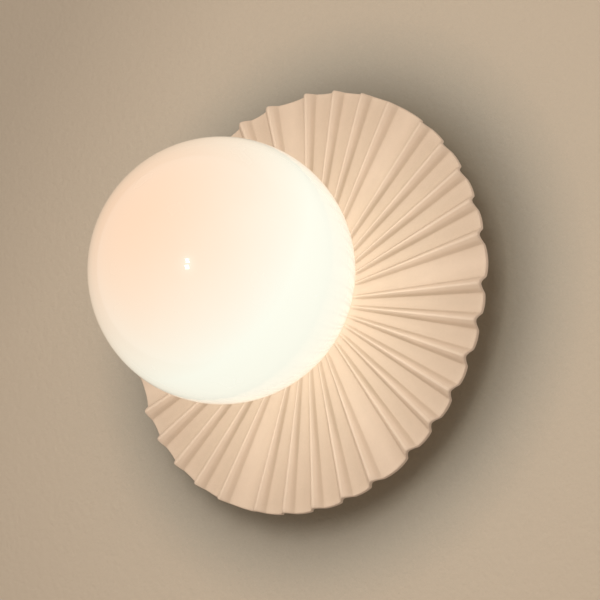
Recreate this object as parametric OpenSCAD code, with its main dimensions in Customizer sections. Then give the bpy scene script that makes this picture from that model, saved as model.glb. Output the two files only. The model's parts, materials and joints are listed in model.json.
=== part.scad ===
// Wall lamp: a fluted round shell with an opal glass globe on its middle.
// The wall is the plane y = 0 and the lamp stands out of it towards -Y, with +Z up.
// Every piece is drawn with its depth from the wall along z, and faced() turns it into place.

/* [Fluted shell] */
// Outside diameter of the shell
shell_d = 250; // [220:1:320]
// Thickness of the shell's wall, measured along the depth
shell_wall = 2.5; // [2:0.1:3.5]
// Depth from the wall to the tips of the ridges at the rim
ridge_reach = 30; // [28:0.5:40]
// How far the flat middle lies behind the tips of the ridges
dish = 6.2; // [5:0.1:7.5]
// Diameter of the flat middle
hub_d = 62; // [60:1:80]
// Width of the ring in which the flutes rise out of the flat middle
hub_blend = 9; // [6:0.5:14]
// Depth of a narrow flute at the rim
narrow_flute = 5.9; // [3:0.1:6.5]
// Depth of a wide flute at the rim
wide_flute = 7; // [4:0.1:7.5]
// Angle that a wide flute takes
wide_angle = 13; // [10:0.5:16]
// Angle from a ridge to the foot of its flank
ridge_foot = 2.5; // [2:0.1:4.2]
// Share of a narrow flute's depth that its flanks take; the rest is the arch of its floor
flank_share = 0.7; // [0.5:0.05:0.9]
// Direction of the first wide flute, anticlockwise from the right
first_wide_at = -111.3; // [-180:0.1:180]
// Number of narrow flutes after each wide flute, anticlockwise
narrow_after_wide = [4, 5, 4, 3, 4, 4, 4];

/* [Globe] */
// Outside diameter of the globe
globe_d = 150; // [120:1:180]
// Thickness of the glass
glass_wall = 2.5; // [2:0.1:4]
// Outside diameter of the glass neck
neck_d = 50; // [50:0.5:56]
// Thickness of the neck's wall
neck_wall = 3; // [2.5:0.1:3.5]
// Length of the neck behind the round of the globe
neck_len = 5.4; // [5:0.1:8]

/* [Globe thread] */
// Advance of the thread in one turn
thread_pitch = 4; // [3.8:0.1:5]
// Number of turns of each thread bead
thread_turns = 1.1; // [0.8:0.05:1.1]
// Width of a bead where it leaves its wall
bead_foot = 1.7; // [1.2:0.1:1.7]
// Width of a bead at its crest
bead_crest = 0.9; // [0.6:0.1:1]
// Height of a bead over its wall
bead_height = 1.2; // [1:0.1:1.3]
// Gap between a bead's crest and the wall that faces it
thread_gap = 0.4; // [0.35:0.05:0.6]

/* [Glass holder] */
// Diameter of the holder's flange
flange_d = 58; // [56:1:60]
// Thickness of the flange
flange_t = 1.5; // [1.2:0.1:2.5]
// Thickness of the threaded collar's wall
collar_wall = 3; // [2:0.1:3.5]
// Length of the collar in front of the flange
collar_len = 9.5; // [9:0.5:14]
// Thickness of the silicone ring under the neck
seal_t = 1; // [0.8:0.1:2]
// How far the silicone ring stands out of the neck
seal_lip = 1; // [0.5:0.1:2]

/* [Canopy] */
// Gap between the bracket's ears and the canopy's wall
ear_gap = 3; // [3:0.5:8]
// Thickness of the canopy's sheet
canopy_wall = 1; // [0.8:0.1:1.2]
// Radius of the canopy's front edge
canopy_edge = 3; // [2:0.5:5]
// Thickness of the spacer between canopy and shell
spacer_t = 2; // [1.5:0.1:4]
// Diameter of the spacer
spacer_d = 40; // [30:1:60]

/* [Wall bracket] */
// Length of the bracket's crossbar from ear to ear
bar_len = 92; // [84:1:110]
// Width of the crossbar and of its two arms
bar_w = 24; // [24:1:28]
// Thickness of the bracket's sheet
bar_t = 1.5; // [1.2:0.1:2]
// Length of the upper arm from the middle
upper_arm = 40; // [38:1:42]
// Length of the lower arm from the middle
lower_arm = 38; // [36:1:42]
// Distance between the middles of the two wall slots
slot_spacing = 60; // [56:1:62]
// End-to-end length of a wall slot
slot_len = 12; // [8:0.5:14]
// Width of a wall slot
slot_w = 4.5; // [4:0.1:5.5]
// Diameter of the hole for the supply cable
cable_hole_d = 14; // [8:0.5:16]
// Distance of the cable hole below the middle
cable_hole_drop = 25; // [22:0.5:28]
// Height of the turned-up ears
ear_h = 12; // [11.5:0.5:14]
// Width of the ears
ear_w = 14; // [10:0.5:18]

/* [Tube and nuts] */
// Outside diameter of the threaded tube
tube_d = 10; // [9.5:0.1:10.5]
// Bore of the threaded tube
tube_bore = 7; // [6.6:0.1:7.2]
// Width across the flats of the nuts
nut_af = 14; // [13:0.5:17]
// Thickness of the nuts
nut_t = 3; // [2:0.1:4]
// Length of tube that stands out of a nut
tube_stand = 1; // [0.5:0.1:2]
// Thickness of the lock washer
lock_t = 0.6; // [0.4:0.1:1]
// Diameter of the lock washer
lock_d = 17; // [15:0.5:20]
// Thickness of the earth ring tag
tag_t = 0.8; // [0.5:0.1:1]

/* [Lamp socket] */
// Width of the ceramic socket between the stirrup's arms
socket_w = 22; // [21:0.5:24]
// Thickness of the ceramic socket
socket_h = 15; // [14:0.5:16]
// Length of the ceramic socket
socket_len = 21; // [20:0.5:26]
// Room for the wires between the tube and the socket
wire_room = 6.7; // [5:0.1:9]
// Distance between the two pins of the bulb
pin_spacing = 9; // [8.8:0.1:9.2]
// Thickness of the stirrup's sheet
stirrup_t = 1; // [0.8:0.1:1.2]
// Width of the stirrup's sheet
stirrup_w = 13; // [12:0.5:14]
// Depth of the recess that takes the bulb's base
recess_depth = 8; // [6:0.5:9]

/* [Bulb] */
// Diameter of the bulb's cover
bulb_d = 17; // [16:0.5:18.5]
// Length of the cover
cover_len = 41; // [30:0.5:50]
// Thickness of the cover
cover_wall = 1; // [0.8:0.1:1.5]
// Length of the base between socket and cover
base_neck = 6; // [4:0.5:8]
// Length of the pins
pin_len = 6.4; // [5:0.1:6.8]
// Thickness of the pin wire
pin_wire = 0.8; // [0.6:0.05:0.9]

/* [Terminal block] */
// Distance between the block's two poles
pole_spacing = 12.4; // [12:0.1:14]
// Length of the block along its poles
block_len = 20; // [18:0.5:21]
// Height of the block over the bracket
block_h = 11.5; // [11:0.1:12]
// Diameter of the brass barrels
barrel_d = 6; // [5.6:0.1:6]
// Bore of the brass barrels
barrel_bore = 3.2; // [3:0.1:3.4]

/* [Wires] */
// Diameter of the two insulated lamp wires
wire_d = 1.8; // [1.4:0.1:1.9]
// Diameter of the earth wire
earth_wire_d = 2.2; // [1.6:0.1:2.4]
// Outside diameter of the sleeve round the lamp wires
sleeve_d = 5.6; // [5.2:0.1:5.8]

/* [Hidden] */
$fn = 96;

// Clearance of a screw, nut or ring on its shaft
fit_gap = 0.05;
// Clearance of a piece that passes through a plain hole
pass_gap = 0.25;
// Gap between two faces that lie against each other
face_gap = 0.1;
// How far a cutting shape runs past the face it cuts
over = 1;

// Depths from the wall, stacked from the ridge tips back to the wall
shell_r = shell_d / 2;
hub_r = hub_d / 2;
hub_front = ridge_reach - dish;
hub_back = hub_front - shell_wall;
canopy_front = hub_back - spacer_t;
canopy_inside = canopy_front - canopy_wall;
canopy_r = bar_len / 2 + ear_gap + canopy_wall;
tag_back = canopy_inside - tag_t;
lock_back = tag_back - lock_t;
rear_nut_back = lock_back - nut_t;
tube_rear = rear_nut_back - 2 * tube_stand;

// Depths stacked from the shell's flat middle to the bulb
flange_front = hub_front + flange_t;
stirrup_front = flange_front + stirrup_t;
front_nut_front = stirrup_front + nut_t;
tube_front = front_nut_front + tube_stand;
socket_back = tube_front + wire_room;
socket_front = socket_back + socket_len;
recess_back = socket_front - recess_depth;
base_floor_gap = 0.4;
base_back = recess_back + base_floor_gap;
cover_back = socket_front + base_neck;
cover_front = cover_back + cover_len;

// The globe stands on its neck, and the neck stands on the silicone ring
globe_r = globe_d / 2;
neck_r = neck_d / 2;
neck_bore_r = neck_r - neck_wall;
neck_end = flange_front + seal_t;
globe_centre = neck_end + neck_len + sqrt(globe_r ^ 2 - neck_r ^ 2);
collar_r = neck_bore_r - bead_height - thread_gap;
thread_inset = 1.3;
thread_start = neck_end + thread_inset;

// Flutes: the widths round the shell, and the direction of the ridge that starts each one
wide_count = len(narrow_after_wide);
narrow_count = narrow_after_wide * [for (n = narrow_after_wide) 1];
narrow_angle = (360 - wide_count * wide_angle) / narrow_count;
flute_widths = [for (n = narrow_after_wide) each [wide_angle, for (i = [1:n]) narrow_angle]];
flute_starts = [for (i = 0, a = first_wide_at - wide_angle / 2; i < len(flute_widths);
                     a = a + flute_widths[i], i = i + 1) a];

// Places of the small pieces in the canopy, with y up
block_floor = 2.5;
barrel_depth = bar_t + block_floor + barrel_d / 2;
block_gap = 3;
block_bottom = bar_w / 2 + block_gap;
block_mid = block_bottom + block_len / 2;
clamp_inset = 4;
clamp_offset = block_len / 2 - clamp_inset;
earth_x = -15.5;
screw_depth = 8;
ear_x = bar_len / 2;

function mix(a, b, share) = a + (b - a) * share;

// Half the angle of a ridge's flat crest, and the angle from a ridge at which the floor's arch starts
crest_half = 0.3;
arch_start = 1.2;

// Depth of a flute at the rim, at an angle from the nearest ridge: a steep flank, then an arched floor
function eased(x) = let (t = max(0, min(1, x))) t * t * (3 - 2 * t);
function flute_fall(angle, width, depth) =
    let (flank = flank_share * narrow_flute, t = max(0, (angle - arch_start) / (width / 2 - arch_start)))
    flank * eased((angle - crest_half) / (ridge_foot - crest_half)) + (depth - flank) * t * (2 - t);

// Share of the full flute at a radius: it grows with the radius and starts at the flat middle
function flute_share(r) = r / shell_r * min(1, (r - hub_r) / hub_blend);

// Depth of the shell's front along a ridge
function ridge_depth(r) = mix(hub_front, ridge_reach, (r - hub_r) / (shell_r - hub_r));

// Turns a piece drawn with its depth along z to face out of the wall
module faced() {
    rotate([90, 0, 0]) children();
}

module ring(outer_r, inner_r, back, front) {
    translate([0, 0, back]) difference() {
        cylinder(r = outer_r, h = front - back);
        translate([0, 0, -over]) cylinder(r = inner_r, h = front - back + 2 * over);
    }
}

module rod(r, back, front) {
    translate([0, 0, back]) cylinder(r = r, h = front - back);
}

// A solid bar that is square to the wall, centred on x and y
module bar(w, h, back, front) {
    translate([-w / 2, -h / 2, back]) cube([w, h, front - back]);
}

module hex_nut(across_flats, bore_r, back, front) {
    translate([0, 0, back]) difference() {
        cylinder(r = across_flats / 2 / cos(30), h = front - back, $fn = 6);
        translate([0, 0, -over]) cylinder(r = bore_r, h = front - back + 2 * over);
    }
}

// A cross-headed screw along z: its head starts at z = 0 and its shank runs to negative z
module pan_screw(shank_r, shank_len, head_r, head_t) {
    top_share = 0.85;
    cross_len = head_r * 1.2;
    cross_w = head_r * 0.24;
    difference() {
        union() {
            translate([0, 0, -shank_len]) cylinder(r = shank_r, h = shank_len + head_t / 2);
            cylinder(r1 = head_r, r2 = head_r * top_share, h = head_t);
        }
        for (turn = [0, 90]) rotate([0, 0, turn])
            bar(cross_len, cross_w, head_t / 2, head_t + over);
    }
}

// A round cup, open at the back, with a rounded front edge
module cup(r, front, edge) {
    rotate_extrude() {
        square([r - edge, front]);
        square([r, front - edge]);
        translate([r - edge, front - edge]) intersection() {
            circle(r = edge);
            square(edge);
        }
    }
}

// One bead of a screw thread: it climbs with the angle, its foot sunk into its wall
module thread_bead(wall_r, height, start, pitch, turns, first_angle) {
    sink = 0.6;
    steps_a_turn = 30;
    outward = height > 0 ? 1 : -1;
    foot_more = (bead_foot - bead_crest) * sink / abs(height);
    half_foot = (bead_foot + foot_more) / 2;
    foot_r = wall_r - outward * sink;
    crest_r = wall_r + height;
    section = [[foot_r, -half_foot], [crest_r, -bead_crest / 2],
               [crest_r, bead_crest / 2], [foot_r, half_foot]];
    steps = round(turns * steps_a_turn);
    points = [for (k = [0:steps]) let (a = first_angle + 360 * turns * k / steps)
        for (s = section) [s[0] * cos(a), s[0] * sin(a), start + pitch * turns * k / steps + s[1]]];
    sides = [for (k = [0:steps - 1], i = [0:3]) let (j = (i + 1) % 4, p = 4 * k, q = 4 * (k + 1))
        each [[p + i, q + i, p + j], [p + j, q + i, q + j]]];
    last = 4 * steps;
    ends = [[0, 1, 2], [0, 2, 3], [last + 2, last + 1, last], [last + 3, last + 2, last]];
    faces = concat(sides, ends);
    polyhedron(points, outward < 0 ? faces : [for (f = faces) [f[2], f[1], f[0]]]);
}

// A smooth curve through points, as short straight steps
function curve_point(p, k, s) =
    let (a = p[max(0, k - 1)], b = p[k], c = p[k + 1], d = p[min(len(p) - 1, k + 2)])
    (2 * b + (c - a) * s + (2 * a - 5 * b + 4 * c - d) * s ^ 2 + (3 * b - a - 3 * c + d) * s ^ 3) / 2;
function smooth_route(p, steps) = concat(
    [for (k = [0:len(p) - 2], i = [0:steps - 1]) curve_point(p, k, i / steps)], [p[len(p) - 1]]);
function unit(v) = v / norm(v);

// A round wire along a route, where side is never along the wire
module wire_along(route, d, side) {
    sides = 8;
    last = len(route) - 1;
    rings = [for (k = [0:last]) let (
        ahead = unit(route[min(last, k + 1)] - route[max(0, k - 1)]),
        u = unit(cross(ahead, side)), v = cross(ahead, u))
        for (i = [0:sides - 1]) route[k] + d / 2 * (cos(360 * i / sides) * u + sin(360 * i / sides) * v)];
    walls = [for (k = [0:last - 1], i = [0:sides - 1])
        let (j = (i + 1) % sides, p = sides * k, q = sides * (k + 1))
        each [[p + i, q + i, p + j], [p + j, q + i, q + j]]];
    caps = [[for (i = [0:sides - 1]) i], [for (i = [sides - 1:-1:0]) sides * last + i]];
    polyhedron(rings, concat(walls, caps));
}

module wall_bracket() color("silver") faced() difference() {
    union() {
        bar(bar_len, bar_w, 0, bar_t);
        translate([0, (upper_arm - lower_arm) / 2, 0]) bar(bar_w, upper_arm + lower_arm, 0, bar_t);
        for (side = [-1, 1]) translate([side * (ear_x - bar_t / 2), 0, 0])
            bar(bar_t, ear_w, 0, bar_t + ear_h);
    }
    for (side = [-1, 1]) {
        translate([side * slot_spacing / 2, 0, -over]) {
            bar(slot_len - slot_w, slot_w, 0, bar_t + 2 * over);
            for (end = [-1, 1]) translate([end * (slot_len - slot_w) / 2, 0, 0])
                cylinder(d = slot_w, h = bar_t + 2 * over);
        }
        translate([side * (ear_x - bar_t - over), 0, screw_depth])
            rotate([0, 90 * side, 0]) cylinder(r = canopy_screw_r + fit_gap, h = bar_t + 2 * over);
    }
    translate([0, -cable_hole_drop, -over]) cylinder(d = cable_hole_d, h = bar_t + 2 * over);
    translate([0, block_mid, -over]) cylinder(r = fixing_screw_r + fit_gap, h = bar_t + 2 * over);
    translate([earth_x, 0, -over]) cylinder(r = earth_screw_r + fit_gap, h = bar_t + 2 * over);
}

earth_screw_r = 1.9;
earth_head_r = 3.8;
earth_head_t = 2.2;
saddle_t = 1;
saddle_w = 8;
saddle_room = earth_wire_d + 2 * face_gap;
saddle_inner = 2 * (earth_screw_r + earth_wire_d + 3 * face_gap);
module earth_screw() color("gold") faced()
    translate([earth_x, 0, bar_t + saddle_room + saddle_t])
        pan_screw(earth_screw_r, bar_t + earth_wire_d + saddle_t, earth_head_r, earth_head_t);

module earth_clamp() color("goldenrod") faced() translate([earth_x, 0, bar_t]) difference() {
    bar(saddle_w, saddle_inner + 2 * saddle_t, 0, saddle_room + saddle_t);
    bar(saddle_w + 2 * over, saddle_inner, -over, saddle_room);
    rod(earth_screw_r + fit_gap, -over, saddle_room + saddle_t + over);
}

fixing_screw_r = 1.45;
fixing_head_r = 2.7;
fixing_head_t = 1.8;
// Depth of the seat under the fixing screw's head, and the wall left behind the screw's end
fixing_sink = 2.6;
fixing_end_gap = 0.5;
clamp_screw_r = 1.3;
clamp_head_r = 1.9;
clamp_head_t = 1.4;
clamp_head_gap = 0.6;
clamp_hole_r = 2.2;
block_side = 1.1;
block_w = pole_spacing + barrel_d + 2 * block_side;
block_front = bar_t + block_h;

// Children are placed at the front of each of the four clamping screws
module at_clamps() {
    for (x = [-1, 1], y = [-1, 1])
        translate([x * pole_spacing / 2, block_mid + y * clamp_offset, 0]) children();
}

module terminal_block() color("ghostwhite") faced() difference() {
    translate([0, block_mid, 0]) bar(block_w, block_len, bar_t, block_front);
    for (x = [-1, 1]) translate([x * pole_spacing / 2, block_bottom - over, barrel_depth])
        rotate([-90, 0, 0]) cylinder(r = barrel_d / 2 + fit_gap, h = block_len + 2 * over);
    at_clamps() rod(clamp_hole_r, barrel_depth, block_front + over);
    translate([0, block_mid, 0]) {
        rod(fixing_screw_r + pass_gap, 0, block_front + over);
        rod(fixing_head_r + 3 * face_gap, block_front - fixing_sink, block_front + over);
    }
}

barrel_inset = 1;
module terminal_barrels() color("goldenrod") faced() difference() {
    for (x = [-1, 1]) translate([x * pole_spacing / 2, block_bottom + barrel_inset, barrel_depth])
        rotate([-90, 0, 0]) cylinder(d = barrel_d, h = block_len - 2 * barrel_inset);
    for (x = [-1, 1]) translate([x * pole_spacing / 2, block_bottom, barrel_depth])
        rotate([-90, 0, 0]) cylinder(d = barrel_bore, h = block_len);
    at_clamps() rod(clamp_screw_r + fit_gap, barrel_depth, barrel_depth + barrel_d);
}

module terminal_screws() color("silver") faced()
    at_clamps() translate([0, 0, barrel_depth + barrel_d / 2 + clamp_head_gap])
        pan_screw(clamp_screw_r, barrel_d / 2 + clamp_head_gap - face_gap - wire_d / 2,
                  clamp_head_r, clamp_head_t);

module terminal_fixing_screw() color("silver") faced()
    translate([0, block_mid, block_front - fixing_sink])
        pan_screw(fixing_screw_r, bar_t + block_h - fixing_sink - fixing_end_gap,
                  fixing_head_r, fixing_head_t);

canopy_screw_r = 1.95;
canopy_head_r = 3.6;
canopy_head_t = 2.2;
canopy_screw_end = 0.8;
module canopy() color("linen") faced() difference() {
    cup(canopy_r, canopy_front, canopy_edge);
    translate([0, 0, -canopy_wall]) cup(canopy_r - canopy_wall, canopy_front, canopy_edge - canopy_wall);
    rod(tube_d / 2 + pass_gap, canopy_inside - over, canopy_front + over);
    for (side = [-1, 1]) translate([side * (canopy_r - 3 * canopy_wall), 0, screw_depth])
        rotate([0, 90 * side, 0]) cylinder(r = canopy_screw_r + pass_gap, h = 6 * canopy_wall);
}

module canopy_screws() color("linen") faced()
    for (side = [-1, 1]) translate([side * (canopy_r + fit_gap), 0, screw_depth])
        rotate([0, 90 * side, 0])
            pan_screw(canopy_screw_r, canopy_r - ear_x + bar_t + canopy_screw_end,
                      canopy_head_r, canopy_head_t);

module shell_spacer() color("dimgray") faced()
    ring(spacer_d / 2, tube_d / 2 + pass_gap, canopy_front, hub_back);

// Angles from a ridge at which a flute is cut: down the flank, then on to the middle of its floor
flank_cuts = [for (share = [0, 0.35, 0.65, 1]) mix(crest_half, ridge_foot, share)];
function flute_cuts(width) = let (floor_cuts = width == wide_angle ? 2 : 1)
    concat(flank_cuts, [for (k = [1:floor_cuts]) mix(ridge_foot, width / 2, k / floor_cuts)]);
function flute_section(start, width, depth) = let (cuts = flute_cuts(width), falls = [for (c = cuts)
    flute_fall(c, width, depth)]) concat(
    [for (k = [0:len(cuts) - 1]) [start + cuts[k], falls[k]]],
    [for (k = [len(cuts) - 2:-1:0]) [start + width - cuts[k], falls[k]]]);
shell_cuts = [for (i = [0:len(flute_widths) - 1]) let (w = flute_widths[i])
    each flute_section(flute_starts[i], w, w == wide_angle ? wide_flute : narrow_flute)];
shell_rings = [hub_r, hub_r + hub_blend / 2, hub_r + hub_blend, shell_r];

// One sheet of the shell, lowered by drop: ring by ring outwards, then the middle point
function shell_sheet(drop) = concat(
    [for (r = shell_rings, c = shell_cuts)
        [r * cos(c[0]), r * sin(c[0]), ridge_depth(r) - c[1] * flute_share(r) - drop]],
    [[0, 0, hub_front - drop]]);

module fluted_shell() color("antiquewhite") faced() {
    n = len(shell_cuts);
    last = n * (len(shell_rings) - 1);
    size = n * len(shell_rings) + 1;
    front = [for (k = [0:len(shell_rings) - 2], i = [0:n - 1])
        let (j = (i + 1) % n, p = n * k, q = n * (k + 1))
        each [[p + i, q + j, q + i], [p + i, p + j, q + j]]];
    middle = [for (i = [0:n - 1]) [size - 1, (i + 1) % n, i]];
    back = [for (f = concat(front, middle)) [size + f[2], size + f[1], size + f[0]]];
    rim = [for (i = [0:n - 1]) let (a = last + i, b = last + (i + 1) % n)
        each [[a, b, size + a], [b, size + b, size + a]]];
    difference() {
        polyhedron(concat(shell_sheet(0), shell_sheet(shell_wall)), concat(front, middle, back, rim));
        rod(tube_d / 2 + pass_gap, hub_back - over, hub_front + over);
    }
}

module threaded_tube() color("goldenrod") faced()
    ring(tube_d / 2, tube_bore / 2, tube_rear, tube_front);

module rear_nut() color("goldenrod") faced()
    hex_nut(nut_af, tube_d / 2 + fit_gap, rear_nut_back, lock_back);

// Notches round the washer's edge leave its teeth
notch_count = 12;
notch_len = 1.2;
notch_w = 1.6;
module lock_washer() color("silver") faced() difference() {
    ring(lock_d / 2, tube_d / 2 + pass_gap, lock_back, tag_back);
    for (k = [1:notch_count]) rotate([0, 0, 360 * k / notch_count]) translate([lock_d / 2, 0, 0])
        bar(2 * notch_len, notch_w, lock_back - over, tag_back + over);
}

tag_r = 8;
tongue_w = 4;
tongue_len = 12.5;
crimp_start = 10.5;
crimp_len = 6;
crimp_wall = 0.4;
crimp_bore_r = earth_wire_d / 2 + fit_gap;
crimp_depth = canopy_inside - crimp_wall - crimp_bore_r - fit_gap;
crimp_floor = 1;
module earth_ring_tag() color("silver") faced() difference() {
    union() {
        rod(tag_r, tag_back, canopy_inside);
        translate([-tongue_len / 2, 0, 0]) bar(tongue_len, tongue_w, tag_back, canopy_inside);
        translate([-crimp_start, 0, crimp_depth]) rotate([0, -90, 0])
            cylinder(r = crimp_bore_r + crimp_wall, h = crimp_len);
    }
    rod(tube_d / 2 + pass_gap, tag_back - over, canopy_inside + over);
    translate([-crimp_start - crimp_floor, 0, crimp_depth]) rotate([0, -90, 0])
        cylinder(r = crimp_bore_r, h = crimp_len);
}

module front_nut() color("goldenrod") faced()
    hex_nut(nut_af, tube_d / 2 + fit_gap, stirrup_front, front_nut_front);

bush_rim = 1;
bush_depth = 4;
module tube_bush() color("white") faced() {
    ring(tube_d / 2 + bush_rim, sleeve_d / 2 + fit_gap, tube_rear - bush_rim, tube_rear);
    ring(tube_bore / 2 - fit_gap, sleeve_d / 2 + fit_gap, tube_rear - bush_rim, tube_rear + bush_depth);
}

module glass_holder() color("linen") faced() {
    ring(flange_d / 2, tube_d / 2 + pass_gap, hub_front, flange_front);
    ring(collar_r, collar_r - collar_wall, hub_front, flange_front + collar_len);
    thread_bead(collar_r, bead_height, thread_start, thread_pitch, thread_turns, -180);
}

stirrup_x = socket_w / 2 + 2 * face_gap;
socket_screw_at = 6;
stirrup_screw_depth = socket_back + socket_screw_at;
socket_screw_r = 1.5;
socket_head_r = 2.6;
socket_head_t = 1.6;
module lampholder_stirrup() color("silver") faced() difference() {
    union() {
        bar(2 * (stirrup_x + stirrup_t), stirrup_w, flange_front, stirrup_front);
        for (side = [-1, 1]) translate([side * (stirrup_x + stirrup_t / 2), 0, 0])
            bar(stirrup_t, stirrup_w, flange_front, stirrup_screw_depth + stirrup_w / 2);
    }
    rod(tube_d / 2 + fit_gap, flange_front - over, stirrup_front + over);
    for (side = [-1, 1]) translate([side * (stirrup_x - over), 0, stirrup_screw_depth])
        rotate([0, 90 * side, 0]) cylinder(r = socket_screw_r + pass_gap, h = stirrup_t + 2 * over);
}

contact_x = pin_spacing / 2;
socket_wire_x = 3.5;
socket_screw_len = 3.4;
socket_round = 0.9;
well_floor = 4.2;
well_back = socket_back + well_floor;
well_w = 4.4;
well_h = 5.4;
module lampholder_body() color("white") faced() difference() {
    intersection() {
        bar(socket_w, socket_h, socket_back, socket_front);
        rod(socket_w / 2 + socket_round, socket_back, socket_front);
    }
    // Recess for the bulb's base, wells for the two contacts, holes for wires and screws
    bar(recess_w, recess_h, recess_back, socket_front + over);
    for (side = [-1, 1]) {
        translate([side * contact_x, 0, 0]) bar(well_w, well_h, well_back, recess_back + over);
        translate([side * socket_wire_x, 0, 0])
            rod(wire_d / 2 + fit_gap, socket_back - over, well_back + over);
        translate([side * (socket_w / 2 - socket_screw_len), 0, stirrup_screw_depth])
            rotate([0, 90 * side, 0]) cylinder(r = socket_screw_r + fit_gap, h = socket_screw_len + over);
    }
}

leaf_t = 0.4;
leaf_w = well_h - 1;
leaf_gap = pin_wire / 2 + 3 * face_gap;
leaf_front = recess_back - 3 * face_gap;
module lampholder_contacts() color("gainsboro") faced()
    for (side = [-1, 1]) translate([side * contact_x, 0, 0]) {
        bar(2 * (leaf_gap + leaf_t), leaf_w, well_back + face_gap, well_back + face_gap + leaf_t);
        for (leaf = [-1, 1]) translate([leaf * (leaf_gap + leaf_t / 2), 0, 0])
            bar(leaf_t, leaf_w, well_back + face_gap, leaf_front);
    }

module lampholder_screws() color("silver") faced()
    for (side = [-1, 1]) translate([side * (stirrup_x + stirrup_t + fit_gap), 0, stirrup_screw_depth])
        rotate([0, 90 * side, 0])
            pan_screw(socket_screw_r, stirrup_t + socket_screw_len - 2 * face_gap,
                      socket_head_r, socket_head_t);

// Route of the left lamp wire: out of its barrel, through the tube and into the socket
wire_x = wire_d / 2 + 3 * fit_gap;
lamp_route = [
    [-pole_spacing / 2, block_bottom + 5, barrel_depth], [-pole_spacing / 2, block_bottom, barrel_depth],
    [-pole_spacing / 2 + 0.6, block_bottom - 5, barrel_depth - 0.6],
    [-pole_spacing / 2 + 2.8, block_bottom - 11, barrel_depth - 1.4],
    [-wire_x - 0.3, 0.6, tube_rear - 3.6], [-wire_x, 0, tube_rear], [-wire_x, 0, tube_rear + 5],
    [-wire_x, 0, tube_front - 4], [-wire_x, 0, tube_front + 1],
    [-socket_wire_x + 0.8, 0, socket_back - 2.2], [-socket_wire_x, 0, socket_back],
    [-socket_wire_x, 0, well_back]
];

module live_wire() color("saddlebrown") faced()
    wire_along(smooth_route(lamp_route, 4), wire_d, [1, 0, 0]);

module neutral_wire() color("royalblue") faced() mirror([1, 0, 0])
    wire_along(smooth_route(lamp_route, 4), wire_d, [1, 0, 0]);

// Route of the earth wire: out of the crimp, round, and back under the saddle beside the screw
earth_end_depth = bar_t + earth_wire_d / 2 + face_gap;
earth_y = -earth_screw_r - earth_wire_d / 2 - face_gap;
crimp_end = -crimp_start - crimp_len;
earth_route = [
    [-crimp_start - 1.2, 0, crimp_depth], [crimp_end + 3, 0, crimp_depth],
    [crimp_end + 1, 0, crimp_depth], [crimp_end - 1.5, 0, crimp_depth],
    [crimp_end - 5.5, -0.4, crimp_depth - 1.4], [crimp_end - 8.5, -1.4, crimp_depth - 6],
    [crimp_end - 6.5, -2.6, earth_end_depth + 1.6], [earth_x - 5, earth_y, earth_end_depth],
    [earth_x, earth_y, earth_end_depth], [earth_x + 5.5, earth_y, earth_end_depth]
];
module earth_wire() color("yellowgreen") faced()
    wire_along(smooth_route(earth_route, 4), earth_wire_d, [0, 1, 0]);

sleeve_rear = 1.5;
sleeve_front = 0.6;
module wire_sleeve() color("snow") faced()
    ring(sleeve_d / 2, 2 * wire_x + face_gap, tube_rear - sleeve_rear, tube_front + sleeve_front);

module glass_seal() color("whitesmoke") faced()
    ring(neck_r + seal_lip, neck_bore_r, flange_front, neck_end);

module glass_globe() color("cornsilk") faced() {
    difference() {
        union() {
            translate([0, 0, globe_centre]) sphere(r = globe_r);
            rod(neck_r, neck_end, neck_end + neck_len + glass_wall);
        }
        translate([0, 0, globe_centre]) sphere(r = globe_r - glass_wall);
        rod(neck_bore_r, neck_end - globe_r, globe_centre - globe_r * 0.6);
    }
    thread_bead(neck_bore_r, -bead_height, thread_start, thread_pitch, thread_turns, 0);
}

recess_w = 16.6;
recess_h = 9.6;
base_gap = 0.5;
base_disc_t = 2;
spigot_len = 2.5;
module bulb_base() color("white") faced() difference() {
    union() {
        bar(recess_w - 2 * base_gap, recess_h - 2 * base_gap, base_back, cover_back - base_disc_t);
        translate([0, 0, cover_back - 2 * base_disc_t])
            cylinder(r1 = bulb_d / 2 - base_disc_t, r2 = bulb_d / 2, h = base_disc_t);
        rod(bulb_d / 2, cover_back - base_disc_t, cover_back);
        rod(bulb_d / 2 - cover_wall - fit_gap, cover_back, cover_back + spigot_len);
    }
    // Slot that holds the board's foot
    bar(board_w + 2 * fit_gap, board_t + 2 * fit_gap, cover_back, cover_back + spigot_len + over);
}

pin_leg = 0.8;
module bulb_pins() color("gainsboro") faced()
    for (side = [-1, 1]) translate([side * contact_x, 0, 0]) {
        for (leg = [-1, 1]) translate([0, leg * pin_leg, 0])
            rod(pin_wire / 2, base_back - pin_len + pin_leg, base_back);
        translate([0, 0, base_back - pin_len + pin_leg]) rotate([0, 90, 0]) rotate([0, 0, -90])
            rotate_extrude(angle = 180) translate([pin_leg, 0]) circle(d = pin_wire);
    }

module bulb_cover() color("white") faced() difference() {
    union() {
        rod(bulb_d / 2, cover_back, cover_front - bulb_d / 2);
        translate([0, 0, cover_front - bulb_d / 2]) sphere(d = bulb_d);
    }
    rod(bulb_d / 2 - cover_wall, cover_back - over, cover_front - bulb_d / 2);
    translate([0, 0, cover_front - bulb_d / 2]) sphere(r = bulb_d / 2 - cover_wall);
}

board_w = 9;
board_t = 1;
board_end_gap = 1;
board_front = cover_front - bulb_d / 2 - board_end_gap;
module bulb_board() color("ivory") faced() bar(board_w, board_t, cover_back, board_front);

led_rows = 7;
led_w = 2.8;
led_len = 2;
led_t = 0.7;
first_led = cover_back + 2 * spigot_len;
led_step = (board_front + board_end_gap - first_led - led_len) / led_rows;
module bulb_leds() color("khaki") faced()
    for (k = [0:led_rows - 1], side = [-1, 1], face = [-1, 1])
        translate([side * board_w / 4, face * (board_t + led_t) / 2, 0])
            bar(led_w, led_t, first_led + k * led_step, first_led + k * led_step + led_len);

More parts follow.
